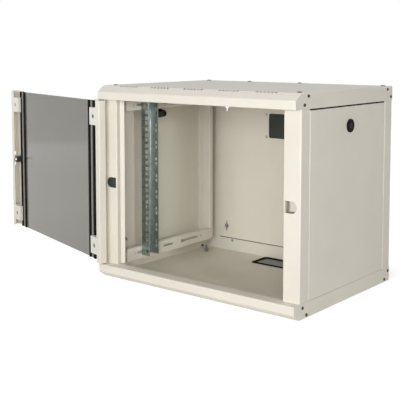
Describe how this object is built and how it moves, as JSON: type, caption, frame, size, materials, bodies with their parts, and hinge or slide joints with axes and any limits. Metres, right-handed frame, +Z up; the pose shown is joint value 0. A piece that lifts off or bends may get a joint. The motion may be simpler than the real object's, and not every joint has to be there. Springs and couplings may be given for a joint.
{
  "type": "rack cabinet",
  "caption": "Light grey folded-steel 19-inch wall cabinet with a tinted glass door on side hinges, lockable tilt-off side panels, slotted depth rails and square-hole rack rails.",
  "frame": {"origin": "centre of the cabinet's flat underside, under the middle of the closed carcass", "axes": "+X to the right seen from the front, +Y from the door side to the rear panel, +Z up"},
  "size_m": [1.1639, 0.4578, 0.502],
  "materials": {
    "painted_steel": "fine-textured light grey powder coat",
    "zinc_steel": "bright zinc plate",
    "black_steel": "black oxide and black paint",
    "black_plastic": "moulded, matt",
    "pale_plastic": "moulded, satin",
    "black_rubber": "extruded, matt",
    "tinted_glass": "grey-tinted float glass, polished"
  },
  "bodies": {
    "cabinet": {"base_tray": "painted_steel", "corner_screws": "black_steel", "depth_rail_lower_left": "painted_steel", "depth_rail_lower_right": "painted_steel", "depth_rail_nuts": "zinc_steel", "depth_rail_screws": "zinc_steel", "depth_rail_upper_left": "painted_steel", "depth_rail_upper_right": "painted_steel", "earth_bolt": "zinc_steel", "earth_nuts": "zinc_steel", "floor_entry_trim": "black_rubber", "front_post_left": "painted_steel", "front_post_right": "painted_steel", "panel_keeper_left": "zinc_steel", "panel_keeper_right": "zinc_steel", "rack_rail_left": "zinc_steel", "rack_rail_nuts": "zinc_steel", "rack_rail_right": "zinc_steel", "rack_rail_screws": "zinc_steel", "rear_cover_screws": "zinc_steel", "rear_entry_cover": "black_steel", "rear_panel": "painted_steel", "rear_panel_screws": "zinc_steel", "rear_post_left": "painted_steel", "rear_post_right": "painted_steel", "roof_plugs": "black_plastic", "roof_tray": "painted_steel", "strike_hole_plug": "black_plastic", "strike_plate": "zinc_steel"},
    "door": {"door_stile_hinge": "painted_steel", "door_stile_lock": "painted_steel", "door_glass": "tinted_glass", "glass_gasket_lock": "black_rubber", "glass_gasket_hinge": "black_rubber", "glass_clamps": "pale_plastic", "clamp_screws": "zinc_steel", "hinge_block_lower": "black_plastic", "hinge_block_upper": "black_plastic", "hinge_pin_lower": "zinc_steel", "hinge_pin_upper": "zinc_steel", "hinge_washers": "black_plastic", "hinge_block_screws": "zinc_steel", "door_lock_housing": "black_plastic", "door_lock_nut": "zinc_steel"},
    "door_lock": {"door_lock_cylinder": "zinc_steel", "door_lock_cam": "zinc_steel", "door_lock_key": "zinc_steel"},
    "side_panel_right": {"side_panel_right": "painted_steel", "panel_stud_right": "zinc_steel", "side_lock_housing_right": "black_plastic", "side_lock_nut_right": "black_steel"},
    "side_lock_right": {"side_lock_cylinder_right": "zinc_steel", "side_lock_cam_right": "black_steel"},
    "side_panel_left": {"side_panel_left": "painted_steel", "panel_stud_left": "zinc_steel", "side_lock_housing_left": "black_plastic", "side_lock_nut_left": "black_steel"},
    "side_lock_left": {"side_lock_cylinder_left": "zinc_steel", "side_lock_cam_left": "black_steel"}
  },
  "joints": [
    {"name": "door_swing", "type": "hinge", "parent": "cabinet", "child": "door", "pos_m": [-0.2915, -0.2178, 0.25], "axis": [0, 0, 1], "range_deg": [-5, 197.2]},
    {"name": "door_lock_turn", "type": "hinge", "parent": "door", "child": "door_lock", "pos_m": [-0.82415, -0.04643, 0.249], "axis": [-0.2957, -0.9553, 0], "range_deg": [0, 90]},
    {"name": "side_panel_right_tilt", "type": "hinge", "parent": "cabinet", "child": "side_panel_right", "pos_m": [0.3, 0.00965, 0.0365], "axis": [0, 1, 0], "range_deg": [0, 10]},
    {"name": "side_lock_right_turn", "type": "hinge", "parent": "side_panel_right", "child": "side_lock_right", "pos_m": [0.3, 0.00965, 0.415], "axis": [-1, 0, 0], "range_deg": [0, 90]},
    {"name": "side_panel_left_tilt", "type": "hinge", "parent": "cabinet", "child": "side_panel_left", "pos_m": [-0.3, 0.00965, 0.0365], "axis": [0, -1, 0], "range_deg": [0, 10]},
    {"name": "side_lock_left_turn", "type": "hinge", "parent": "side_panel_left", "child": "side_lock_left", "pos_m": [-0.3, 0.00965, 0.415], "axis": [-1, 0, 0], "range_deg": [0, 90]}
  ]
}
